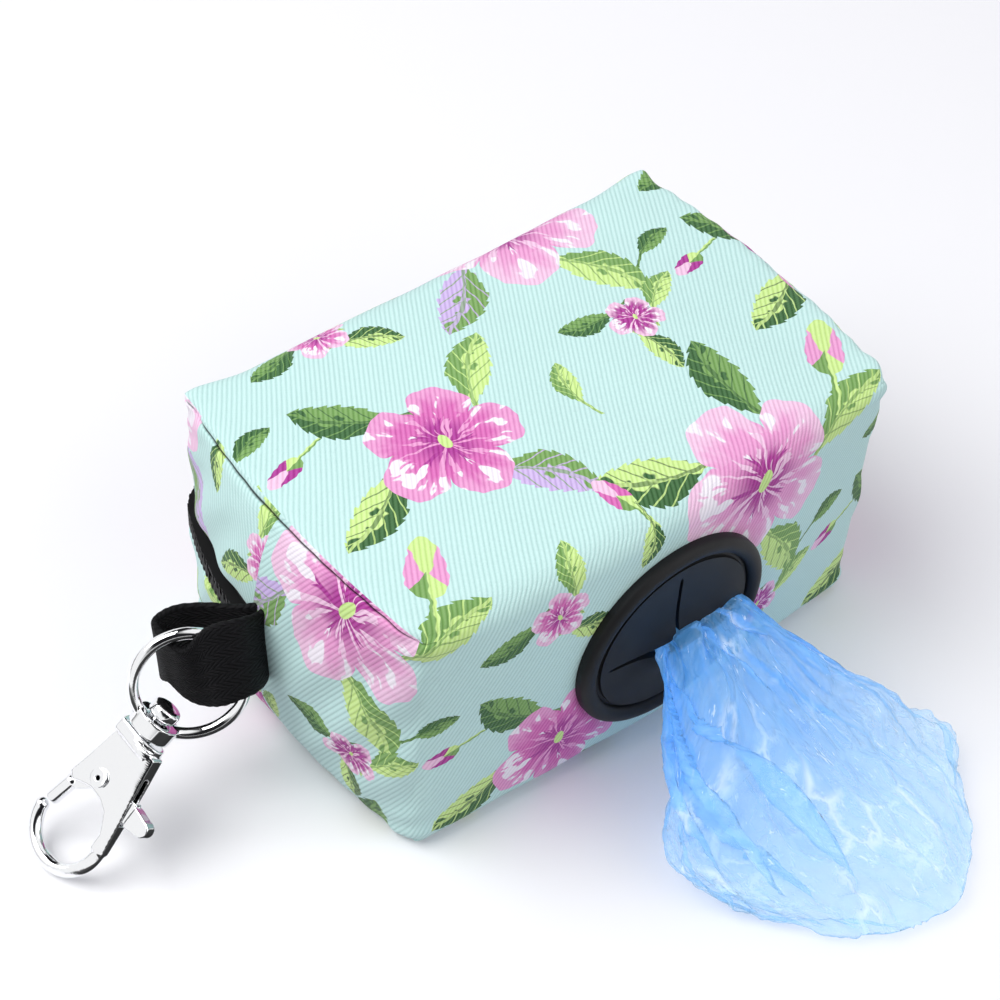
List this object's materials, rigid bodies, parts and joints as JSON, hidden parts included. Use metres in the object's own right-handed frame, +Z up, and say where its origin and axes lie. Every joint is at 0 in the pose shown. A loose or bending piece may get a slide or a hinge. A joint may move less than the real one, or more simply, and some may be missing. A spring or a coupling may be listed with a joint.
{
  "type": "waste bag dispenser",
  "caption": "Boxed fabric pouch that holds a roll of waste bags, with a slit rubber grommet to pull them through, a zip and a swivel trigger hook on a webbing loop.",
  "frame": {"origin": "centre of the flat base that the pouch stands on", "axes": "+X along the pouch away from the webbing loop, -Y the front face with the grommet, +Z up"},
  "size_m": [0.1446, 0.118, 0.0515],
  "materials": {
    "printed_twill": "printed twill, slight sheen",
    "foam": "thin foam",
    "lining_cloth": "plain woven lining",
    "zip_tape": "herringbone zip tape",
    "zip_coil": "nylon coil",
    "zip_metal": "black painted die casting",
    "webbing": "herringbone webbing",
    "black_rubber": "matte rubber",
    "core_board": "spiral wound board",
    "bag_film": "thin crinkled film",
    "chrome": "polished chrome plate",
    "spring_wire": "drawn wire"
  },
  "bodies": {
    "pouch": {"outer_shell": "printed_twill", "foam_interlining": "foam", "lining": "lining_cloth", "zip_tape_upper": "zip_tape", "zip_tape_lower": "zip_tape", "zip_coil_upper": "zip_coil", "zip_coil_lower": "zip_coil", "zip_top_stops": "zip_metal", "zip_bottom_stop": "zip_metal", "webbing_loop": "webbing", "grommet": "black_rubber"},
    "slider": {"zip_slider": "zip_metal"},
    "pull": {"zip_pull": "zip_metal"},
    "roll": {"roll_core": "core_board", "bag_roll": "bag_film"},
    "bag": {"bag_tail": "bag_film"},
    "eye": {"swivel_eye": "chrome"},
    "hook": {"swivel_rivet": "chrome", "hook_body": "chrome", "gate_rivet": "chrome", "gate_spring": "spring_wire"},
    "gate": {"gate_lever": "chrome"}
  },
  "joints": [
    {"name": "zip_travel", "type": "slide", "parent": "pouch", "child": "slider", "axis": [-1, 0, 0], "range_m": [0, 0.07], "deforming": ["zip_coil_upper", "zip_coil_lower"]},
    {"name": "pull_flip", "type": "hinge", "parent": "slider", "child": "pull", "pos_m": [0.0344, 0.0329, 0.0265], "axis": [0, 0, -1], "range_deg": [0, 165]},
    {"name": "bag_pull", "type": "slide", "parent": "pouch", "child": "bag", "axis": [0, -1, 0], "range_m": [0, 0.012]},
    {"name": "roll_spin", "type": "hinge", "parent": "pouch", "child": "roll", "pos_m": [0, 0, 0.0207], "axis": [1, 0, 0], "continuous": true},
    {"name": "eye_swing", "type": "hinge", "parent": "pouch", "child": "eye", "pos_m": [-0.06, -0.0023, 0.0265], "axis": [0, 0.4412, 0.8974], "range_deg": [0, 80]},
    {"name": "hook_swivel", "type": "hinge", "parent": "eye", "child": "hook", "pos_m": [-0.07088, 0.00019, 0.01981], "axis": [-0.7406, 0.0593, -0.6693], "continuous": true},
    {"name": "gate_open", "type": "hinge", "parent": "hook", "child": "gate", "pos_m": [-0.07922, 0.00083, 0.01227], "axis": [-0.6714, -0.1039, 0.7337], "range_deg": [0, 30], "stiffness_Nm_per_rad": 0.02, "springref_deg": -17.19, "deforming": ["gate_spring"]}
  ],
  "couplings": [
    {"joint": "roll_spin", "follows": "bag_pull", "rad_per_m": 58.8}
  ]
}
